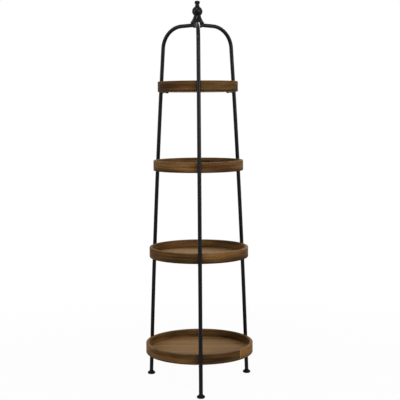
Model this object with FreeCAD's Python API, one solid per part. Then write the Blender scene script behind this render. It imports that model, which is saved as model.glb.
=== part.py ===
import FreeCAD, Part
import math
import os

os.makedirs("parts", exist_ok=True)

Vec = FreeCAD.Vector
origin = Vec(0, 0, 0)
up = Vec(0, 0, 1)
tolerance = 1e-4

# Legs: three bent steel tubes, evenly spaced about the upright axis
front_leg_angle = -90.0
leg_spacing = 360.0 / 3
leg_diameter = 16.0
leg_wall = 1.5
leg_circle_radius = 238.0  # tube centre line at floor level
shoulder_radius = 162.5  # tube centre line where the top bend starts
leg_bow = 6.3  # outward bulge of the leg, measured from its chord
bend_radius = 92.0
arm_rise = 2.35  # degrees the arm climbs from the bend to the hub

# Trays: a bent wooden rim round a wooden floor panel
bottom_tray_height = 129.0  # from the floor to the underside of the tray
bottom_to_lower = 400.5  # from one tray to the next
lower_to_upper = 357.5
upper_to_top = 319.5
rim_to_shoulder = 139.5  # from the top rim to the start of the leg bends
tray_leg_gap = 1.0  # clear space between the rim and the legs
rim_height = 42.0
rim_thickness = 13.0
rim_edge_round = 2.5
rabbet_depth = 5.0
panel_thickness = 10.0
tongue_thickness = 5.0  # edge of the panel, under the ledge of the rim
panel_clearance = 0.2
seam_gap = 0.5  # where the ends of the bent rim meet
front_seam_angle = -43.3
back_seam_angle = 90.0

# Lugs: flat bars welded to the legs under each tray
lug_side_inset = 1.0  # how much narrower than the leg on each side
lug_thickness = 3.0
lug_hole_clearance = 0.25
lug_hole_from_tip = 7.0

# Wood screws: one through each lug into the floor panel
screw_diameter = 4.0
screw_from_rim = 4.6  # from the inside of the rim to the screw
screw_tip_cover = 2.0  # wood left above the screw tip
screw_pilot_clearance = 0.05
screw_pilot_spare = 0.6
screw_tip_length = 2.0
screw_tip_diameter = 1.2
screw_head_diameter = 8.0
screw_head_height = 2.6
screw_slot_width = 1.1
screw_slot_length = 4.8
screw_slot_depth = 1.3

# Feet: moulded glides pushed into the open ends of the legs
foot_diameter = 33.0
foot_disc_height = 10.0
foot_height = 16.0
foot_edge_round = 4.6
foot_cone_step = 0.5  # flat ring between the rounded edge and the cone
foot_stem_length = 22.0
foot_stem_root = 2.0  # length of stem inside the button
foot_stem_clearance = 0.05
foot_stem_chamfer = 1.0

# Hub: boss that takes the three arms in radial sockets
hub_diameter = 38.0
hub_above_arms = 0.6
hub_below_arms = 4.2
hub_bottom_round = 3.2
hub_flange_diameter = 54.0  # seat for the finial, over the roots of the arms
hub_flange_thickness = 3.0
hub_top_round = 0.5
socket_web = 1.6  # metal between the inner ends of neighbouring sockets
socket_clearance = 0.1

# Grub screws: one under each arm
grub_diameter = 4.0
grub_clearance = 0.05
grub_from_arm_end = 2.6
grub_recess = 1.0
grub_hex = 2.0
grub_hex_depth = 1.4

# Stud and finial
stud_diameter = 8.0
stud_chamfer = 1.0
stud_in_hub = 14.0
stud_in_finial = 26.0
stud_hub_clearance = 0.05
finial_bore_clearance = 0.1
finial_end_clearance = 1.5
finial_base_diameter = 56.5
finial_base_edge = 1.4
finial_base_round = 0.6
finial_bell_height = 29.0  # from the base to the waist
finial_bell_hollow = 1.8  # how far the bell curves in from a straight side
finial_waist_diameter = 28.4
finial_ball_diameter = 42.8
finial_collar_diameter = 23.0  # where the ball runs into the neck
finial_neck_diameter = 17.2
finial_neck_height = 11.5
finial_knob_diameter = 22.4
finial_knob_height = 12.5
finial_knob_flat = 14.5  # across the flat top of the knob
finial_knob_round = 1.5

# Values that follow from the sizes above
leg_angles = {
    "front": front_leg_angle,
    "rear_right": front_leg_angle + leg_spacing,
    "rear_left": front_leg_angle + 2 * leg_spacing,
}
lower_tray_height = bottom_tray_height + bottom_to_lower
upper_tray_height = lower_tray_height + lower_to_upper
top_tray_height = upper_tray_height + upper_to_top
shoulder_height = top_tray_height + rim_height + rim_to_shoulder
tray_heights = {
    "bottom": bottom_tray_height,
    "lower": lower_tray_height,
    "upper": upper_tray_height,
    "top": top_tray_height,
}
seam_angles = {
    "bottom": front_seam_angle,
    "lower": back_seam_angle,
    "upper": back_seam_angle,
    "top": back_seam_angle,
}
leg_radius = leg_diameter / 2
leg_bore_radius = leg_radius - leg_wall
chord_length = math.hypot(leg_circle_radius - shoulder_radius, shoulder_height)
chord_lean = math.atan2(leg_circle_radius - shoulder_radius, shoulder_height)
bow_radius = chord_length ** 2 / (8 * leg_bow) + leg_bow / 2
bow_half_angle = math.asin(chord_length / (2 * bow_radius))
lean_at_foot = chord_lean - bow_half_angle
lean_at_shoulder = chord_lean + bow_half_angle
rise = math.radians(arm_rise)
bow_centre_radius = leg_circle_radius - bow_radius * math.cos(lean_at_foot)
bow_centre_height = -bow_radius * math.sin(lean_at_foot)
bend_centre_radius = shoulder_radius - bend_radius * math.cos(lean_at_shoulder)
bend_centre_height = shoulder_height - bend_radius * math.sin(lean_at_shoulder)
arm_start_radius = bend_centre_radius + bend_radius * math.sin(rise)
arm_start_height = bend_centre_height + bend_radius * math.cos(rise)
arm_height_on_axis = arm_start_height + arm_start_radius * math.tan(rise)
socket_inner_radius = (leg_radius + socket_web) / math.sin(math.radians(leg_spacing / 2))
grub_radius_from_axis = socket_inner_radius + grub_from_arm_end
lug_width = leg_diameter - 2 * lug_side_inset
screw_grip = panel_thickness - screw_tip_cover
hub_top = arm_height_on_axis + leg_radius + hub_above_arms
hub_bottom = arm_height_on_axis - leg_radius - hub_below_arms
stud_bottom = hub_top - stud_in_hub
stud_top = hub_top + stud_in_finial


def in_leg_plane(radius, height):
    return Vec(radius, 0, height)


def on_bow(angle):
    radius = bow_centre_radius + bow_radius * math.cos(angle)
    height = bow_centre_height + bow_radius * math.sin(angle)
    return in_leg_plane(radius, height)


def on_bend(angle):
    radius = bend_centre_radius + bend_radius * math.cos(angle)
    height = bend_centre_height + bend_radius * math.sin(angle)
    return in_leg_plane(radius, height)


def arm_height_at(radius):
    return arm_height_on_axis - radius * math.tan(rise)


def leg_radius_at(height):
    reach = math.sqrt(bow_radius ** 2 - (height - bow_centre_height) ** 2)
    return bow_centre_radius + reach


def tray_radius(base_height):
    return leg_radius_at(base_height + rim_height) - leg_radius - tray_leg_gap


def turned(shape, angle):
    copy = shape.copy()
    copy.rotate(origin, up, angle)
    return copy


def revolved(edges):
    face = Part.Face(Part.Wire(edges))
    return face.revolve(origin, up, 360)


def line(start, end):
    return Part.makeLine(in_leg_plane(*start), in_leg_plane(*end))


def arc(start, middle, end):
    points = [in_leg_plane(*place) for place in (start, middle, end)]
    return Part.Arc(*points).toShape()


def polygon(places):
    closed = list(places) + [places[0]]
    return [line(a, b) for a, b in zip(closed, closed[1:])]


def ring_edges(shape, radius, height):
    found = []
    for edge in shape.Edges:
        if edge.Degenerated or not isinstance(edge.Curve, Part.Circle):
            continue
        same_radius = abs(edge.Curve.Radius - radius) < tolerance
        same_height = abs(edge.Curve.Center.z - height) < tolerance
        if same_radius and same_height:
            found.append(edge)
    return found


def leg_path():
    bow_middle = (lean_at_foot + lean_at_shoulder) / 2
    bow = Part.Arc(on_bow(lean_at_foot), on_bow(bow_middle), on_bow(lean_at_shoulder))
    bend_end = math.pi / 2 - rise
    bend_middle = (lean_at_shoulder + bend_end) / 2
    bend = Part.Arc(on_bend(lean_at_shoulder), on_bend(bend_middle), on_bend(bend_end))
    arm_end = in_leg_plane(socket_inner_radius, arm_height_at(socket_inner_radius))
    arm = Part.makeLine(on_bend(bend_end), arm_end)
    return Part.Wire([bow.toShape(), bend.toShape(), arm])


def leg_sweep(radius):
    start = on_bow(lean_at_foot)
    direction = Vec(-math.sin(lean_at_foot), 0, math.cos(lean_at_foot))
    disc = Part.Face(Part.Wire(Part.makeCircle(radius, start, direction)))
    return leg_path().makePipe(disc)


def below_neck():
    size = 4 * leg_diameter
    corner = Vec(leg_circle_radius - size / 2, -size / 2, foot_height - size)
    return Part.makeBox(size, size, size, corner)


def make_leg():
    outer = leg_sweep(leg_radius)
    bore = leg_sweep(leg_bore_radius)
    return outer.cut(bore).cut(below_neck())


def make_foot():
    disc_radius = foot_diameter / 2
    round_centre = disc_radius - foot_edge_round
    diagonal = foot_edge_round * math.sqrt(0.5)
    cone_radius = round_centre - foot_cone_step
    top_edge = foot_disc_height - foot_edge_round
    edges = [
        line((0, 0), (round_centre, 0)),
        arc(
            (round_centre, 0),
            (round_centre + diagonal, foot_edge_round - diagonal),
            (disc_radius, foot_edge_round),
        ),
        line((disc_radius, foot_edge_round), (disc_radius, top_edge)),
        arc(
            (disc_radius, top_edge),
            (round_centre + diagonal, top_edge + diagonal),
            (round_centre, foot_disc_height),
        ),
        line((round_centre, foot_disc_height), (cone_radius, foot_disc_height)),
        line((cone_radius, foot_disc_height), (leg_radius, foot_height)),
        line((leg_radius, foot_height), (0, foot_height)),
        line((0, foot_height), (0, 0)),
    ]
    neck_radius = leg_radius_at(foot_height)
    button = revolved(edges)
    button.translate(Vec(neck_radius, 0, 0))
    direction = Vec(-math.sin(lean_at_foot), 0, math.cos(lean_at_foot))
    stem_radius = leg_bore_radius - foot_stem_clearance
    base = in_leg_plane(neck_radius, foot_height) - direction * foot_stem_root
    stem_length = foot_stem_length + foot_stem_root
    stem = Part.makeCylinder(stem_radius, stem_length - foot_stem_chamfer, base, direction)
    tip_base = base + direction * (stem_length - foot_stem_chamfer)
    tip_radius = stem_radius - foot_stem_chamfer
    tip = Part.makeCone(stem_radius, tip_radius, foot_stem_chamfer, tip_base, direction)
    return button.fuse(stem).fuse(tip).removeSplitter()


def grub_top():
    far_edge = grub_radius_from_axis + grub_diameter / 2
    return arm_height_at(far_edge) - leg_radius / math.cos(rise)


def grub_bottom():
    return hub_bottom + grub_recess


def make_boss():
    wall = hub_diameter / 2
    boss = Part.makeCylinder(wall, hub_top - hub_bottom, Vec(0, 0, hub_bottom))
    boss = boss.makeFillet(hub_bottom_round, ring_edges(boss, wall, hub_bottom))
    seat = hub_flange_diameter / 2
    seat_z = hub_top - hub_flange_thickness
    flange = Part.makeCylinder(seat, hub_flange_thickness, Vec(0, 0, seat_z))
    rounded = ring_edges(flange, seat, seat_z) + ring_edges(flange, seat, hub_top)
    flange = flange.makeFillet(hub_top_round, rounded)
    return boss.fuse(flange).removeSplitter()


def make_hub():
    hub = make_boss()
    start = in_leg_plane(socket_inner_radius, arm_height_at(socket_inner_radius))
    outward = Vec(math.cos(rise), 0, -math.sin(rise))
    socket = Part.makeCylinder(leg_radius + socket_clearance, hub_flange_diameter, start, outward)
    grub_hole_radius = grub_diameter / 2 + grub_clearance
    grub_hole_base = Vec(grub_radius_from_axis, 0, hub_bottom)
    grub_hole_length = arm_height_at(grub_radius_from_axis) - hub_bottom
    grub_hole = Part.makeCylinder(grub_hole_radius, grub_hole_length, grub_hole_base)
    for angle in leg_angles.values():
        hub = hub.cut(turned(socket, angle))
        hub = hub.cut(turned(grub_hole, angle))
    stud_hole_radius = stud_diameter / 2 + stud_hub_clearance
    stud_hole = Part.makeCylinder(stud_hole_radius, stud_in_hub, Vec(0, 0, stud_bottom))
    return hub.cut(stud_hole)


def hexagon_prism(across_flats, length, base):
    corner_radius = across_flats / 2 / math.cos(math.radians(30))
    corners = []
    for degrees in range(0, 361, 60):
        angle = math.radians(degrees)
        corners.append(base + Vec(corner_radius * math.cos(angle), corner_radius * math.sin(angle), 0))
    return Part.Face(Part.makePolygon(corners)).extrude(Vec(0, 0, length))


def make_grub_screws():
    length = grub_top() - grub_bottom()
    base = Vec(grub_radius_from_axis, 0, grub_bottom())
    body = Part.makeCylinder(grub_diameter / 2, length, base)
    screw = body.cut(hexagon_prism(grub_hex, grub_hex_depth, base))
    return Part.makeCompound([turned(screw, angle) for angle in leg_angles.values()])


def make_stud():
    radius = stud_diameter / 2
    stud = Part.makeCylinder(radius, stud_top - stud_bottom, Vec(0, 0, stud_bottom))
    ends = ring_edges(stud, radius, stud_bottom) + ring_edges(stud, radius, stud_top)
    return stud.makeChamfer(stud_chamfer, ends)


def half_chord(radius, distance):
    return math.sqrt(radius ** 2 - distance ** 2)


def make_finial():
    base = finial_base_diameter / 2
    waist = finial_waist_diameter / 2
    ball = finial_ball_diameter / 2
    collar = finial_collar_diameter / 2
    neck = finial_neck_diameter / 2
    knob = finial_knob_diameter / 2
    flat = finial_knob_flat / 2
    edge_z = hub_top + finial_base_edge
    waist_z = hub_top + finial_bell_height
    ball_z = waist_z + half_chord(ball, waist)
    collar_z = ball_z + half_chord(ball, collar)
    neck_z = collar_z + finial_neck_height / 2
    knob_start_z = collar_z + finial_neck_height
    knob_z = knob_start_z + finial_knob_height / 2
    tip_z = knob_start_z + finial_knob_height
    bell_side = math.hypot(base - waist, waist_z - edge_z)
    hollow_in = finial_bell_hollow * (waist_z - edge_z) / bell_side
    hollow_down = finial_bell_hollow * (base - waist) / bell_side
    bell_middle = ((base + waist) / 2 - hollow_in, (edge_z + waist_z) / 2 - hollow_down)
    edges = [
        line((0, hub_top), (base, hub_top)),
        line((base, hub_top), (base, edge_z)),
        arc((base, edge_z), bell_middle, (waist, waist_z)),
        arc((waist, waist_z), (ball, ball_z), (collar, collar_z)),
        arc((collar, collar_z), (neck, neck_z), (neck, knob_start_z)),
        arc((neck, knob_start_z), (knob, knob_z), (flat, tip_z)),
        line((flat, tip_z), (0, tip_z)),
        line((0, tip_z), (0, hub_top)),
    ]
    finial = revolved(edges)
    rounded = ring_edges(finial, base, hub_top) + ring_edges(finial, base, edge_z)
    finial = finial.makeFillet(finial_base_round, rounded)
    finial = finial.makeFillet(finial_knob_round, ring_edges(finial, flat, tip_z))
    bore_radius = stud_diameter / 2 + finial_bore_clearance
    bore_length = stud_in_finial + finial_end_clearance
    return finial.cut(Part.makeCylinder(bore_radius, bore_length, Vec(0, 0, hub_top)))


def make_rim(base_height, seam_angle):
    outer = tray_radius(base_height)
    inner = outer - rim_thickness
    rabbet = inner + rabbet_depth
    top = base_height + rim_height
    ledge = base_height + tongue_thickness
    profile = [
        (rabbet, base_height),
        (outer, base_height),
        (outer, top),
        (inner, top),
        (inner, ledge),
        (rabbet, ledge),
    ]
    rim = revolved(polygon(profile))
    rounded = ring_edges(rim, outer, base_height)
    rounded += ring_edges(rim, outer, top)
    rounded += ring_edges(rim, inner, top)
    rim = rim.makeFillet(rim_edge_round, rounded)
    seam = Part.makeBox(outer, seam_gap, rim_height, Vec(inner / 2, -seam_gap / 2, base_height))
    return rim.cut(turned(seam, seam_angle))


def screw_place(base_height):
    return tray_radius(base_height) - rim_thickness - screw_from_rim


def make_panel(base_height):
    field_radius = tray_radius(base_height) - rim_thickness - panel_clearance
    tongue_radius = field_radius + rabbet_depth
    tongue = Part.makeCylinder(tongue_radius, tongue_thickness, Vec(0, 0, base_height))
    field = Part.makeCylinder(field_radius, panel_thickness, Vec(0, 0, base_height))
    panel = tongue.fuse(field).removeSplitter()
    pilot_radius = screw_diameter / 2 + screw_pilot_clearance
    pilot_base = Vec(screw_place(base_height), 0, base_height)
    pilot = Part.makeCylinder(pilot_radius, screw_grip + screw_pilot_spare, pilot_base)
    for angle in leg_angles.values():
        panel = panel.cut(turned(pilot, angle))
    return panel


def make_lug(base_height):
    bottom = base_height - lug_thickness
    tip_round = lug_width / 2
    tip_centre = screw_place(base_height) - lug_hole_from_tip + tip_round
    bar_length = leg_radius_at(bottom) - tip_centre
    bar = Part.makeBox(bar_length, lug_width, lug_thickness, Vec(tip_centre, -tip_round, bottom))
    tip = Part.makeCylinder(tip_round, lug_thickness, Vec(tip_centre, 0, bottom))
    hole_base = Vec(screw_place(base_height), 0, bottom)
    hole = Part.makeCylinder(screw_diameter / 2 + lug_hole_clearance, lug_thickness, hole_base)
    plate = bar.fuse(tip).removeSplitter().cut(hole)
    return plate.cut(leg_sweep(leg_radius))


def make_screw(base_height):
    seat = base_height - lug_thickness
    head = screw_head_diameter / 2
    shank = screw_diameter / 2
    point = screw_tip_diameter / 2
    tip = base_height + screw_grip
    shank_end = tip - screw_tip_length
    crown = seat - screw_head_height
    dome = (head ** 2 + screw_head_height ** 2) / (2 * screw_head_height)
    dome_middle = (head / 2, crown + dome - half_chord(dome, head / 2))
    edges = [
        arc((0, crown), dome_middle, (head, seat)),
        line((head, seat), (shank, seat)),
        line((shank, seat), (shank, shank_end)),
        line((shank, shank_end), (point, tip)),
        line((point, tip), (0, tip)),
        line((0, tip), (0, crown)),
    ]
    screw = revolved(edges)
    corner = Vec(-screw_slot_length / 2, -screw_slot_width / 2, crown)
    slot = Part.makeBox(screw_slot_length, screw_slot_width, screw_slot_depth, corner)
    screw = screw.cut(slot).cut(turned(slot, 90))
    screw.translate(Vec(screw_place(base_height), 0, 0))
    return screw


def save(shape, node):
    shape.exportStep("parts/" + node + ".step")


leg = make_leg()
foot = make_foot()
for side, angle in leg_angles.items():
    save(turned(leg, angle), "leg_" + side)
    save(turned(foot, angle), "foot_" + side)

save(make_hub(), "hub")
save(make_grub_screws(), "hub_grub_screws")
save(make_stud(), "hub_stud")
save(make_finial(), "finial")

for tier, base_height in tray_heights.items():
    save(make_rim(base_height, seam_angles[tier]), "tray_rim_" + tier)
    save(make_panel(base_height), "tray_floor_" + tier)
    lug = make_lug(base_height)
    screw = make_screw(base_height)
    for side, angle in leg_angles.items():
        save(turned(lug, angle), "lug_" + tier + "_" + side)
    screws = [turned(screw, angle) for angle in leg_angles.values()]
    save(Part.makeCompound(screws), "lug_screws_" + tier)
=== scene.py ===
import math

import bmesh
import bpy
from mathutils import Matrix, Vector


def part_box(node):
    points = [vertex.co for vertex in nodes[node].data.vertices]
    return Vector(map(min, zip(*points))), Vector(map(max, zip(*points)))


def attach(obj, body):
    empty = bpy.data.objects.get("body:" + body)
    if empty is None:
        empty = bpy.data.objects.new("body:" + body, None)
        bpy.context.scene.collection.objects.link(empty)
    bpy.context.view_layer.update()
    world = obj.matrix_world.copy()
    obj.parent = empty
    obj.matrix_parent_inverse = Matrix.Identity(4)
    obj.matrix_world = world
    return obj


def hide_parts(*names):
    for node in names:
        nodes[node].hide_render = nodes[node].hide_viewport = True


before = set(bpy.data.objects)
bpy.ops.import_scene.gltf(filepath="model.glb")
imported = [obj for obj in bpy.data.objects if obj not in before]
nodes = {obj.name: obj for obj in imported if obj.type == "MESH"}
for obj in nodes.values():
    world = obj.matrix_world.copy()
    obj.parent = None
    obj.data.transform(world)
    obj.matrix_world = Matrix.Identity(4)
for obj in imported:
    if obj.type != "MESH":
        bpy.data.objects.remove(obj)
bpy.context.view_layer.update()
upright = Vector((0, 0, 1))
tiers = ("bottom", "lower", "upper", "top")


class Wire:
    # one socket of a material, which takes part in sums as a number does

    def __init__(self, tree, socket=None):
        self.tree = tree
        self.socket = socket

    def add(self, kind, settings=None, sockets=None, output=0):
        node = self.tree.nodes.new(kind)
        for name, value in (settings or {}).items():
            if name == "stops":
                self.setStops(node.color_ramp.elements, value)
            else:
                setattr(node, name, value)
        for key, value in (sockets or {}).items():
            if isinstance(value, Wire):
                self.tree.links.new(value.socket, node.inputs[key])
            else:
                node.inputs[key].default_value = value
        return Wire(self.tree, node.outputs[output] if node.outputs else None)

    def setStops(self, elements, stops):
        for number, (position, colour) in enumerate(stops):
            isThere = number < len(elements)  # a new ramp has two stops
            element = elements[number] if isThere else elements.new(position)
            element.position = position
            element.color = colour

    def also(self, output):  # another output of the same node
        return Wire(self.tree, self.socket.node.outputs[output])

    def sum(self, operation, first, second=0.0):
        return self.add("ShaderNodeMath", {"operation": operation}, {0: first, 1: second})

    def __add__(self, other):
        return self.sum("ADD", self, other)

    def __radd__(self, other):
        return self.sum("ADD", other, self)

    def __sub__(self, other):
        return self.sum("SUBTRACT", self, other)

    def __rsub__(self, other):
        return self.sum("SUBTRACT", other, self)

    def __mul__(self, other):
        return self.sum("MULTIPLY", self, other)

    def __rmul__(self, other):
        return self.sum("MULTIPLY", other, self)

    def __truediv__(self, other):
        return self.sum("DIVIDE", self, other)

    def __rtruediv__(self, other):
        return self.sum("DIVIDE", other, self)

    def __abs__(self):
        return self.sum("ABSOLUTE", self)


def stain(red, green, blue):  # a colour as it is read off a screen, made linear
    linear = []
    for part in (red, green, blue):
        part /= 255
        linear.append(part / 12.92 if part <= 0.04045 else ((part + 0.055) / 1.055) ** 2.4)
    return (*linear, 1.0)


def startMaterial(name):
    material = bpy.data.materials.new(name)
    material.use_nodes = True
    material.node_tree.nodes.clear()
    place = Wire(material.node_tree).add("ShaderNodeTexCoord", output="Object")
    return material, place


def finishMaterial(place, colour, roughness, normal, fixed):
    sockets = {"Base Color": colour, "Roughness": roughness, "Normal": normal, **fixed}
    shader = place.add("ShaderNodeBsdfPrincipled", sockets=sockets)
    place.add("ShaderNodeOutputMaterial", sockets={"Surface": shader})


def stretch(vector, scale):
    return vector.add("ShaderNodeVectorMath", {"operation": "MULTIPLY"}, {0: vector, 1: scale})


def shift(vector, offset):
    return vector.add("ShaderNodeVectorMath", {"operation": "ADD"}, {0: vector, 1: offset})


def split(vector):
    x = vector.add("ShaderNodeSeparateXYZ", sockets={0: vector}, output="X")
    return x, x.also("Y"), x.also("Z")


def join(x, y, z):
    return x.add("ShaderNodeCombineXYZ", sockets={0: x, 1: y, 2: z})


def noise(vector, detail=2.0, rough=0.5, bend=0.0):
    sockets = {"Vector": vector, "Scale": 1.0, "Detail": detail, "Roughness": rough}
    return vector.add("ShaderNodeTexNoise", sockets={**sockets, "Distortion": bend})


def uneven(value, spread):  # a noise made to lie about 0, not 0.5
    return (value - 0.5) * spread


def fade(value, start, end):  # 0 at start, 1 at end, smooth between
    sockets = {"Value": value, "From Min": start, "From Max": end}
    return value.add("ShaderNodeMapRange", {"interpolation_type": "SMOOTHSTEP"}, sockets)


def fadeFrom(value, level, offsets):  # the same, with both ends measured from a level
    return fade(value, level + offsets[0], level + offsets[1])


def ramp(value, stops):
    return value.add("ShaderNodeValToRGB", {"stops": stops}, {0: value})


def mixColour(factor, first, second):  # sockets 6 and 7 and output 2 are the colours
    sockets = {0: factor, 6: first, 7: second}
    return factor.add("ShaderNodeMix", {"data_type": "RGBA"}, sockets, output=2)


def bump(height, depth, strength=1.0):
    sockets = {"Height": height, "Distance": depth, "Strength": strength}
    return height.add("ShaderNodeBump", sockets=sockets)


def addObject(name, data):
    thing = bpy.data.objects.new(name, data)
    bpy.context.scene.collection.objects.link(thing)
    return thing


def makePiece(name, bm, material, body, smoothAngle=35, wall=0):
    bmesh.ops.remove_doubles(bm, verts=bm.verts, dist=1e-6)
    bmesh.ops.recalc_face_normals(bm, faces=bm.faces)
    if wall:  # grows inwards from the outside
        bmesh.ops.solidify(bm, geom=bm.faces[:], thickness=wall)
    mesh = bpy.data.meshes.new(name)
    bm.to_mesh(mesh)
    bm.free()
    mesh.materials.append(material)
    mesh.shade_smooth()
    mesh.set_sharp_from_angle(angle=math.radians(smoothAngle))
    piece = addObject(name, mesh)
    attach(piece, body)
    return piece


def turnAll(bm, angle, axis):  # about the origin
    matrix = Matrix.Rotation(angle, 3, axis)
    bmesh.ops.rotate(bm, verts=bm.verts, cent=(0, 0, 0), matrix=matrix)


def moveAll(bm, offset):
    bmesh.ops.translate(bm, verts=bm.verts, vec=offset)


def lastEdges(made):
    return [part for part in made["geom_last"] if isinstance(part, bmesh.types.BMEdge)]


def openEdges(bm):
    return [edge for edge in bm.edges if edge.is_boundary]


# Black paint on the metalwork
paintLook = {
    "tones": [(0.3, stain(5, 5, 6)), (0.7, stain(11, 11, 12))],
    "cloudPerMetre": (14, 14, 14),
    "dust": stain(60, 58, 56),
    "dustFacing": (0.55, 1.0),  # how far a surface has to look up
    "dustPatches": (0.35, 0.75),
    "dustShare": 0.2,
    "peelPerMetre": (700, 700, 700),
    "peelDepth": 0.00002,
    "peelStrength": 0.4,
    "roughness": 0.25,
    "cloudRoughness": 0.1,
    "dustRoughness": 0.3,
    "fixed": {"Specular IOR Level": 0.105},
}


def makePaint():
    look = paintLook
    material, place = startMaterial("black_paint")
    cloud = noise(stretch(place, look["cloudPerMetre"]), detail=4)
    peel = noise(stretch(place, look["peelPerMetre"]), detail=2)
    normal = place.add("ShaderNodeNewGeometry", output="Normal")
    facingUp = fade(split(normal)[2], *look["dustFacing"])
    dusty = facingUp * fade(cloud, *look["dustPatches"]) * look["dustShare"]
    colour = mixColour(dusty, ramp(cloud, look["tones"]), look["dust"])
    roughness = look["roughness"] + uneven(cloud, look["cloudRoughness"])
    roughness += dusty * look["dustRoughness"]
    surface = bump(peel, look["peelDepth"], look["peelStrength"])
    finishMaterial(place, colour, roughness, surface, look["fixed"])
    return material


# Moulded feet
footLook = {
    "dark": stain(5, 5, 5),
    "scuffed": stain(28, 27, 27),
    "scuffHeights": (0.0008, 0.0045),
    "scuffPatches": (0.45, 0.7),
    "scuffShare": 0.7,
    "blotchPerMetre": (60, 60, 60),
    "sparkPerMetre": (1500, 1500, 1500),
    "sparkDepth": 0.00004,
    "roughness": 0.55,
    "blotchRoughness": 0.15,
    "scuffRoughness": 0.15,
    "fixed": {"Specular IOR Level": 0.07},
}


def makeFootPlastic():
    look = footLook
    material, place = startMaterial("foot_plastic")
    height = split(place)[2]
    spark = noise(stretch(place, look["sparkPerMetre"]), detail=2)
    blotch = noise(stretch(place, look["blotchPerMetre"]), detail=4, rough=0.6)
    scuff = (1 - fade(height, *look["scuffHeights"])) * fade(blotch, *look["scuffPatches"])
    colour = mixColour(scuff * look["scuffShare"], look["dark"], look["scuffed"])
    roughness = look["roughness"] + uneven(blotch, look["blotchRoughness"])
    roughness += scuff * look["scuffRoughness"]
    surface = bump(spark, look["sparkDepth"])
    finishMaterial(place, colour, roughness, surface, look["fixed"])
    return material


# Blackened screws
screwLook = {
    "blackened": stain(38, 37, 36),
    "bare": stain(120, 117, 112),
    "barePerMetre": (700, 700, 700),
    "barePatches": (0.58, 0.72),
    "bareShare": 0.5,
    "turningPerMetre": (900, 900, 5000),
    "turningDepth": 0.00003,
    "roughness": 0.38,
    "turningRoughness": 0.25,
    "fixed": {"Metallic": 0.85},
}


def makeScrewSteel():
    look = screwLook
    material, place = startMaterial("blackened_screw")
    turning = noise(stretch(place, look["turningPerMetre"]), detail=3)
    patches = noise(stretch(place, look["barePerMetre"]), detail=3, rough=0.65)
    bare = fade(patches, *look["barePatches"])
    colour = mixColour(bare * look["bareShare"], look["blackened"], look["bare"])
    roughness = look["roughness"] + uneven(turning, look["turningRoughness"])
    surface = bump(turning, look["turningDepth"])
    finishMaterial(place, colour, roughness, surface, look["fixed"])
    return material


# Wood grain, which rims and floors share
grainLook = {
    "ringBend": 0.4,
    "poreRange": (0.6, 0.7),
    "ringHeight": 0.6,
    "fibreHeight": 0.3,
    "poreDepth": 0.5,
    "depth": 0.0003,
    "strength": 0.6,
    "ringRoughness": 0.2,
}


def makeGrain(board, look):
    broad = noise(stretch(board, look["broadPerMetre"]), detail=2)
    ringPlace = stretch(board, look["ringsPerMetre"])
    rings = noise(ringPlace, look["ringDetail"], look["ringRough"], grainLook["ringBend"])
    fibre = noise(stretch(board, look["fibrePerMetre"]), detail=3)
    pores = fade(noise(stretch(board, look["poresPerMetre"]), detail=1), *grainLook["poreRange"])
    return broad, rings, fibre, pores


def grainHeight(rings, fibre, pores):
    raised = rings * grainLook["ringHeight"] + fibre * grainLook["fibreHeight"]
    return raised - pores * grainLook["poreDepth"]


def finishWood(place, colour, rings, pores, height, look):
    roughness = look["roughness"] + uneven(rings, grainLook["ringRoughness"])
    roughness += pores * look["poreRoughness"]
    surface = bump(height, grainLook["depth"], grainLook["strength"])
    finishMaterial(place, colour, roughness, surface, look["fixed"])


# Bent rims: the board runs round the tray, so its grain does too
rimShape = {
    "thickness": 0.013,
    "rabbetDepth": 0.005,
    "ledgeHeight": 0.005,
    "edgeRound": 0.0025,
    "roundSteps": 5,
    "seamGap": 0.0005,
    "seamChamfer": 0.0007,
    "chamferSteps": 2,
    "steps": 240,
    "seamAngle": {"bottom": -43.3, "lower": 90, "upper": 90, "top": 90},
}
rimLook = {
    "tones": [(0.15, stain(40, 26, 13)), (0.5, stain(78, 56, 29)), (0.85, stain(113, 81, 47))],
    "boardPart": {"bottom": 231.75, "lower": 44.75, "upper": 389.95, "top": 471.95},
    "boardTone": {"bottom": 0.06, "lower": 0.03, "upper": -0.02, "top": -0.075},
    "broadPerMetre": (4.2, 20, 18),  # along the board, through it and up it
    "broadRange": (0.32, 0.68),
    "broadShare": 0.58,
    "ringsPerMetre": (4.4, 90, 165),
    "ringDetail": 3,
    "ringRough": 0.55,
    "ringRange": (0.34, 0.66),
    "ringShare": 0.26,
    "fibrePerMetre": (22, 700, 1300),
    "fibreShare": 0.16,
    "red": stain(82, 50, 26),
    "redPerMetre": (5, 30, 60),
    "redPatches": (0.45, 0.65),
    "redShare": 0.45,
    "pore": stain(34, 22, 12),
    "poresPerMetre": (60, 1600, 2200),
    "poreShare": 0.45,
    # paler along the top edge in patches: wear, and a painted highlight where the rounded edge
    # catches the light
    "wearAndHighlight": stain(124, 96, 62),
    "wearAndHighlightPerMetre": (28, 240, 240),
    "wearAndHighlightPatches": (0.3, 0.7),
    "wearAndHighlightHeights": (-0.004, -0.0005),  # from the top
    "wearAndHighlightShare": 0.55,
    "seam": stain(168, 136, 98),
    "seamReach": (0.0006, 0.0018),
    "seamShare": 0.75,
    # painted shade: darker just inside the inner wall, where the tray above shades it
    "paintedShadeInside": stain(40, 26, 13),
    "paintedShadeInsideReach": (0.001, 0.004),  # from the inner wall
    "paintedShadeInsideShare": 0.25,
    # painted shade: darker towards the underside of the rim, in the corner by the floor as well
    "paintedShadeLow": stain(40, 26, 13),
    "paintedShadeLowHeights": (0, 0.026),  # from the underside
    "paintedShadeLowShare": 0.3,
    # painted shade on the rounded lower edge, which lies in shadow
    "edge": stain(30, 20, 12),
    "edgeHeights": (0.001, 0.0065),  # from the underside
    "edgeShare": 0.85,
    "roughness": 0.55,
    "poreRoughness": 0.15,
    "fixed": {"Specular IOR Level": 0.025},
}


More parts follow.
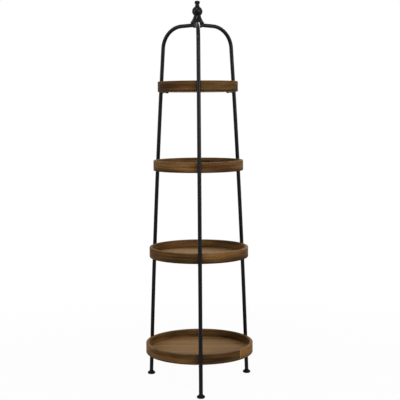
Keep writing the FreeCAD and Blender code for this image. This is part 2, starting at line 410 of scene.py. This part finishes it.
def makeRimWood(tier, outer, low, high):
    look = rimLook
    material, place = startMaterial("rim_wood_" + tier)
    turn = math.pi - math.radians(rimShape["seamAngle"][tier])
    turned = place.add("ShaderNodeMapping", sockets={"Vector": place, "Rotation": (0, 0, turn)})
    x, y, z = split(turned)
    along = x.sum("ARCTAN2", y, x) * outer
    reach = x.sum("SQRT", x * x + y * y)
    inner = outer - rimShape["thickness"]
    board = shift(join(along, reach, z), (look["boardPart"][tier], 0, 0))
    broad, rings, fibre, pores = makeGrain(board, look)
    tone = fade(broad, *look["broadRange"]) * look["broadShare"]
    tone += fade(rings, *look["ringRange"]) * look["ringShare"]
    tone += fibre * look["fibreShare"]
    tone += look["boardTone"][tier]
    colour = ramp(tone, look["tones"])
    redness = noise(stretch(board, look["redPerMetre"]), detail=2)
    patches = noise(stretch(board, look["wearAndHighlightPerMetre"]), detail=4, rough=0.6)
    topEdge = fadeFrom(z, high.z, look["wearAndHighlightHeights"])
    masks = {
        "red": fade(redness, *look["redPatches"]),
        "pore": pores,
        # wear and a painted highlight along the top edge
        "wearAndHighlight": topEdge * fade(patches, *look["wearAndHighlightPatches"]),
        "seam": 1 - fade(math.pi * outer - abs(along), *look["seamReach"]),
        # painted shade inside the inner wall
        "paintedShadeInside": 1 - fadeFrom(reach, inner, look["paintedShadeInsideReach"]),
        # painted shade towards the underside
        "paintedShadeLow": 1 - fadeFrom(z, low.z, look["paintedShadeLowHeights"]),
        # painted shade on the lower edge
        "edge": 1 - fadeFrom(z, low.z, look["edgeHeights"]),
    }
    for layer, mask in masks.items():
        colour = mixColour(mask * look[layer + "Share"], colour, look[layer])
    finishWood(place, colour, rings, pores, grainHeight(rings, fibre, pores), look)
    return material


def makeRim(tier):
    node = "tray_rim_" + tier
    low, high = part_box(node)
    outer = max(vertex.co.xy.length for vertex in nodes[node].data.vertices)
    inner = outer - rimShape["thickness"]
    rabbet = inner + rimShape["rabbetDepth"]
    ledge = low.z + rimShape["ledgeHeight"]
    corners = [
        (rabbet, low.z), (outer, low.z), (outer, high.z),
        (inner, high.z), (inner, ledge), (rabbet, ledge),
    ]
    bm = bmesh.new()
    verts = [bm.verts.new((radius, 0, height)) for radius, height in corners]
    bm.faces.new(verts)
    bmesh.ops.bevel(
        bm, geom=verts[1:4], offset=rimShape["edgeRound"], affect="VERTICES",
        segments=rimShape["roundSteps"], profile=0.5, material=-1,
    )
    halfGap = rimShape["seamGap"] / 2 / outer
    turnAll(bm, math.radians(rimShape["seamAngle"][tier]) + halfGap, "Z")
    firstLoop = list(bm.edges)
    made = bmesh.ops.spin(
        bm, geom=firstLoop, cent=(0, 0, 0), axis=upright,
        angle=math.tau - 2 * halfGap, steps=rimShape["steps"],
    )
    endLoop = lastEdges(made)
    bmesh.ops.contextual_create(bm, geom=endLoop)
    bmesh.ops.recalc_face_normals(bm, faces=bm.faces)
    bmesh.ops.bevel(
        bm, geom=firstLoop + endLoop, offset=rimShape["seamChamfer"], affect="EDGES",
        segments=rimShape["chamferSteps"], profile=0.5, material=-1, clamp_overlap=True,
    )
    rim = makePiece(node + "_bent", bm, makeRimWood(tier, outer, low, high), "rack")
    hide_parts(node)
    return inner


# Floor panels: boards glued edge to edge, with their grain from left to right
floorShape = {
    "fieldClearance": 0.0002,
    "tongueThickness": 0.005,
    "edgeChamfer": 0.0006,
    "steps": 160,
}
floorLook = {
    "tones": [(0.3, stain(82, 58, 33)), (0.5, stain(121, 92, 56)), (0.7, stain(147, 115, 75))],
    "boardWidth": 0.058,
    "trayShift": (3.7, 0.021, 0),  # so that each tray shows other boards
    "trayPick": 0.5,
    "boardShift": 9.0,
    "broadPerMetre": (2.6, 22, 22),  # along the boards, across them and through them
    "broadShare": 0.42,
    "ringsPerMetre": (2.8, 150, 90),
    "ringDetail": 4,
    "ringRough": 0.6,
    "ringShare": 0.38,
    "fibrePerMetre": (20, 1100, 700),
    "fibreShare": 0.1,
    "pickShare": 0.1,
    "pore": stain(58, 40, 23),
    "poresPerMetre": (55, 2000, 1600),
    "poreShare": 0.4,
    "jointReach": (0.003, 0.012),  # in board widths
    "jointShare": 0.45,
    "jointDepth": 0.8,
    "roughness": 0.55,
    "poreRoughness": 0.1,
    "fixed": {"Specular IOR Level": 0.015},
}


def makeFloorWood(tier):
    look = floorLook
    level = tiers.index(tier)
    material, place = startMaterial("floor_wood_" + tier)
    x, y, z = split(shift(place, [level * part for part in look["trayShift"]]))
    boards = y / look["boardWidth"]
    number = boards.sum("FLOOR", boards)
    inBoard = boards - number
    seed = number + look["trayPick"] * level
    pick = seed.add("ShaderNodeTexWhiteNoise", {"noise_dimensions": "1D"}, {"W": seed})
    board = join(x + pick * look["boardShift"], y, z)
    broad, rings, fibre, pores = makeGrain(board, look)
    tone = broad * look["broadShare"] + rings * look["ringShare"]
    tone += fibre * look["fibreShare"]
    tone += pick * look["pickShare"]
    joint = 1 - fade(0.5 - abs(inBoard - 0.5), *look["jointReach"])
    dark = pores * look["poreShare"] + joint * look["jointShare"]
    colour = mixColour(dark, ramp(tone, look["tones"]), look["pore"])
    height = grainHeight(rings, fibre, pores) - joint * look["jointDepth"]
    finishWood(place, colour, rings, pores, height, look)
    return material


def makeFloor(tier, inner):
    node = "tray_floor_" + tier
    low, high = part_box(node)
    field = inner - floorShape["fieldClearance"]
    tongue = field + rimShape["rabbetDepth"]
    ledge = low.z + floorShape["tongueThickness"]
    chamfer = floorShape["edgeChamfer"]
    profile = [
        (0, high.z), (field - chamfer, high.z), (field, high.z - chamfer),
        (field, ledge), (tongue, ledge), (tongue, low.z), (0, low.z),
    ]
    bm = bmesh.new()
    verts = [bm.verts.new((radius, 0, height)) for radius, height in profile]
    edges = [bm.edges.new(pair) for pair in zip(verts, verts[1:])]
    bmesh.ops.spin(
        bm, geom=edges, cent=(0, 0, 0), axis=upright, angle=math.tau,
        steps=floorShape["steps"], use_merge=True,
    )
    panel = makePiece(node + "_boards", bm, makeFloorWood(tier), "rack")
    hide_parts(node)


# Legs: round tube swept up the bow, round the bend and along the arm
legShape = {
    "footReach": 0.238,
    "shoulderReach": 0.1625,
    "shoulderHeight": 1.388,
    "bow": 0.0063,
    "bendRadius": 0.092,
    "armRise": math.radians(2.35),
    "armEnd": 0.011085,
    "tubeRadius": 0.008,
    "tubeWall": 0.0015,
    "neckHeight": 0.016,
    "sides": 40,
    "bowSteps": 72,
    "bendSteps": 40,
    "turn": {"front": -90, "rear_right": 30, "rear_left": 150},
}
inward = legShape["footReach"] - legShape["shoulderReach"]
chord = math.hypot(inward, legShape["shoulderHeight"])
chordLean = math.atan2(inward, legShape["shoulderHeight"])
bowRadius = chord ** 2 / (8 * legShape["bow"]) + legShape["bow"] / 2
halfBow = math.asin(chord / (2 * bowRadius))
footLean = chordLean - halfBow
shoulderLean = chordLean + halfBow
bowReach = legShape["footReach"] - bowRadius * math.cos(footLean)
bowCentre = Vector((bowReach, 0, -bowRadius * math.sin(footLean)))


def legReach(height):
    return bowCentre.x + math.sqrt(bowRadius ** 2 - (height - bowCentre.z) ** 2)


def makeLeg(side, paint):
    bendRadius = legShape["bendRadius"]
    armRise = legShape["armRise"]
    shoulder = Vector((legShape["shoulderReach"], 0, legShape["shoulderHeight"]))
    outwards = Vector((math.cos(shoulderLean), 0, math.sin(shoulderLean)))
    bendCentre = shoulder - bendRadius * outwards
    bendSweep = math.pi / 2 - armRise - shoulderLean
    armRun = bendCentre.x + bendRadius * math.sin(armRise) - legShape["armEnd"]
    arm = Vector((-armRun, 0, armRun * math.tan(armRise)))
    bm = bmesh.new()
    bmesh.ops.create_circle(
        bm, cap_ends=False, radius=legShape["tubeRadius"], segments=legShape["sides"],
    )
    turnAll(bm, -footLean, "Y")
    moveAll(bm, (legShape["footReach"], 0, 0))
    sweepAxis = (0, -1, 0)
    made = bmesh.ops.spin(
        bm, geom=list(bm.edges), cent=bowCentre, axis=sweepAxis,
        angle=2 * halfBow, steps=legShape["bowSteps"],
    )
    made = bmesh.ops.spin(
        bm, geom=lastEdges(made), cent=bendCentre, axis=sweepAxis,
        angle=bendSweep, steps=legShape["bendSteps"],
    )
    made = bmesh.ops.extrude_edge_only(bm, edges=lastEdges(made))
    tip = [part for part in made["geom"] if isinstance(part, bmesh.types.BMVert)]
    bmesh.ops.translate(bm, verts=tip, vec=arm)
    everything = bm.verts[:] + bm.edges[:] + bm.faces[:]
    neck = (0, 0, legShape["neckHeight"])  # the tube starts on top of the foot
    bmesh.ops.bisect_plane(
        bm, geom=everything, plane_co=neck, plane_no=upright, clear_inner=True,
    )
    turnAll(bm, math.radians(legShape["turn"][side]), "Z")
    wall = legShape["tubeWall"]
    leg = makePiece("leg_" + side + "_tube", bm, paint, "rack", wall=wall)
    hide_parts("leg_" + side)


# Welds: a rippled bead round the leg under each lug
weldShape = {
    "beadRadius": 0.0016,
    "spread": math.radians(66),
    "steps": 22,
    "sides": 10,
    "ripple": 0.16,
    "smoothAngle": 60,
}


def makeWeld(tier, side, paint):
    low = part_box("lug_" + tier + "_" + side)[0]
    spread = weldShape["spread"]
    steps = weldShape["steps"]
    bm = bmesh.new()
    bmesh.ops.create_circle(
        bm, cap_ends=False, radius=weldShape["beadRadius"], segments=weldShape["sides"],
    )
    turnAll(bm, math.pi / 2, "X")
    moveAll(bm, (-legShape["tubeRadius"], 0, 0))
    turnAll(bm, -spread, "Z")
    bmesh.ops.spin(
        bm, geom=list(bm.edges), cent=(0, 0, 0), axis=upright, angle=2 * spread, steps=steps,
    )
    rings = {}
    for vertex in bm.verts:
        angle = math.atan2(-vertex.co.y, -vertex.co.x)
        rings.setdefault(round(angle / spread * steps / 2), []).append(vertex)
    for number, ring in rings.items():  # every second ring is thicker
        middle = sum((vertex.co for vertex in ring), Vector()) / len(ring)
        grow = 1 + weldShape["ripple"] * (1 if number % 2 else -1)
        bmesh.ops.scale(
            bm, verts=ring, vec=(grow, grow, grow), space=Matrix.Translation(-middle),
        )
    bmesh.ops.holes_fill(bm, edges=openEdges(bm), sides=0)
    moveAll(bm, (legReach(low.z), 0, low.z))
    turnAll(bm, math.radians(legShape["turn"][side]), "Z")
    name = "weld_" + tier + "_" + side
    smoothAngle = weldShape["smoothAngle"]
    makePiece(name, bm, paint, "rack", smoothAngle=smoothAngle)


# Floor and light
stageLook = {
    "floorHalf": 16.0,
    "floor": 0.6,
    "white": (1, 1, 1, 1),
    "whiteNear": 0.965,  # the share that glows near the rack; the rest takes the shadow
    "shadowEnds": (0.6, 2.4),
    "world": 0.12,
}
lamps = {
    "key": {"place": (-2.5, -6.2, 8.8), "size": (2.0, 2.0), "watts": 428.0},
    "front": {"place": (1.2, -7.0, 2.9), "size": (1.4, 1.6), "watts": 90.0},
    "wideRight": {"place": (5.4, -4.6, 2.9), "size": (5.0, 4.0), "watts": 415.0},
    "wideLeft": {"place": (-6.6, -2.6, 2.9), "size": (5.0, 4.0), "watts": 268.0},
    "back": {"place": (1.8, 6.6, 4.4), "size": (5.0, 3.6), "watts": 205.0},
}
lampAim = Vector((0, 0, 0.8))


def shownRays(wire):  # 1 for what the camera, a gloss or a glass shows
    rays = wire.add("ShaderNodeLightPath", output="Is Camera Ray")
    shown = rays.sum("MAXIMUM", rays, rays.also("Is Glossy Ray"))
    return rays.sum("MAXIMUM", shown, rays.also("Is Transmission Ray"))


def makeStage():
    bm = bmesh.new()
    bmesh.ops.create_grid(bm, x_segments=4, y_segments=4, size=stageLook["floorHalf"])
    mesh = bpy.data.meshes.new("studio_floor")
    bm.to_mesh(mesh)
    bm.free()
    floor = addObject("studio_floor", mesh)
    material, place = startMaterial("studio_floor")
    mesh.materials.append(material)
    away = place.add("ShaderNodeVectorMath", {"operation": "LENGTH"}, {0: place}, output="Value")
    near = stageLook["whiteNear"]
    glowing = shownRays(place) * (near + fade(away, *stageLook["shadowEnds"]) * (1 - near))
    grey = stageLook["floor"]
    matt = place.add("ShaderNodeBsdfDiffuse", sockets={"Color": (grey, grey, grey, 1)})
    sockets = {"Color": stageLook["white"], "Strength": 1.0}
    glow = place.add("ShaderNodeEmission", sockets=sockets)
    shader = place.add("ShaderNodeMixShader", sockets={0: glowing, 1: matt, 2: glow})
    place.add("ShaderNodeOutputMaterial", sockets={"Surface": shader})


def makeWorld():
    world = bpy.data.worlds.new("studio")
    bpy.context.scene.world = world
    world.use_nodes = True
    world.node_tree.nodes.clear()
    start = Wire(world.node_tree)
    strength = stageLook["world"] + shownRays(start) * (1 - stageLook["world"])
    sockets = {"Color": stageLook["white"], "Strength": strength}
    sky = start.add("ShaderNodeBackground", sockets=sockets)
    start.add("ShaderNodeOutputWorld", sockets={"Surface": sky})


def makeLamp(name, settings):
    data = bpy.data.lights.new(name, "AREA")
    data.shape = "RECTANGLE"
    data.size, data.size_y = settings["size"]
    data.energy = settings["watts"]
    lamp = addObject(name, data)
    lamp.location = settings["place"]
    lamp.visible_camera = False
    lamp.rotation_euler = (lampAim - lamp.location).to_track_quat("-Z", "Y").to_euler()


# Camera where the photograph was taken from
cameraSettings = {
    "lens": 85.0,
    "sensorWidth": 36.0,
    "clipEnd": 100.0,
    "distance": 3.876,
    "height": 1.144,
    "azimuth": math.radians(1.11),
    "heading": math.radians(-1.20),
    "pitch": math.radians(5.61),
    "roll": math.radians(-0.36),
}


def makeCamera():
    data = bpy.data.cameras.new("camera")
    data.lens = cameraSettings["lens"]
    data.sensor_width = cameraSettings["sensorWidth"]
    data.sensor_fit = "HORIZONTAL"
    data.clip_end = cameraSettings["clipEnd"]
    camera = addObject("camera", data)
    distance = cameraSettings["distance"]
    azimuth = cameraSettings["azimuth"]
    height = cameraSettings["height"]
    place = (-distance * math.sin(azimuth), -distance * math.cos(azimuth), height)
    turn = Matrix.Rotation(cameraSettings["heading"], 4, "Z")
    tilt = Matrix.Rotation(math.pi / 2 - cameraSettings["pitch"], 4, "X")
    roll = Matrix.Rotation(cameraSettings["roll"], 4, "Z")
    camera.matrix_world = Matrix.Translation(place) @ turn @ tilt @ roll
    bpy.context.scene.camera = camera


def dressNode(node, material):
    for slot in nodes[node].material_slots:
        slot.material = material


paint = makePaint()
print("legs")
for side in legShape["turn"]:
    makeLeg(side, paint)
print("trays")
for tier in tiers:
    makeFloor(tier, makeRim(tier))
print("lugs and welds")
screwSteel = makeScrewSteel()
for tier in tiers:
    for side in legShape["turn"]:
        dressNode("lug_" + tier + "_" + side, paint)
        makeWeld(tier, side, paint)
    dressNode("lug_screws_" + tier, screwSteel)
print("feet, hub and finial")
footPlastic = makeFootPlastic()
for side in legShape["turn"]:
    dressNode("foot_" + side, footPlastic)
for node in ("hub", "finial"):
    dressNode(node, paint)
for node in ("hub_stud", "hub_grub_screws"):
    dressNode(node, screwSteel)
print("stage, light and camera")
makeStage()
makeWorld()
for name, settings in lamps.items():
    makeLamp(name, settings)
makeCamera()
bpy.context.scene.view_settings.view_transform = "Standard"
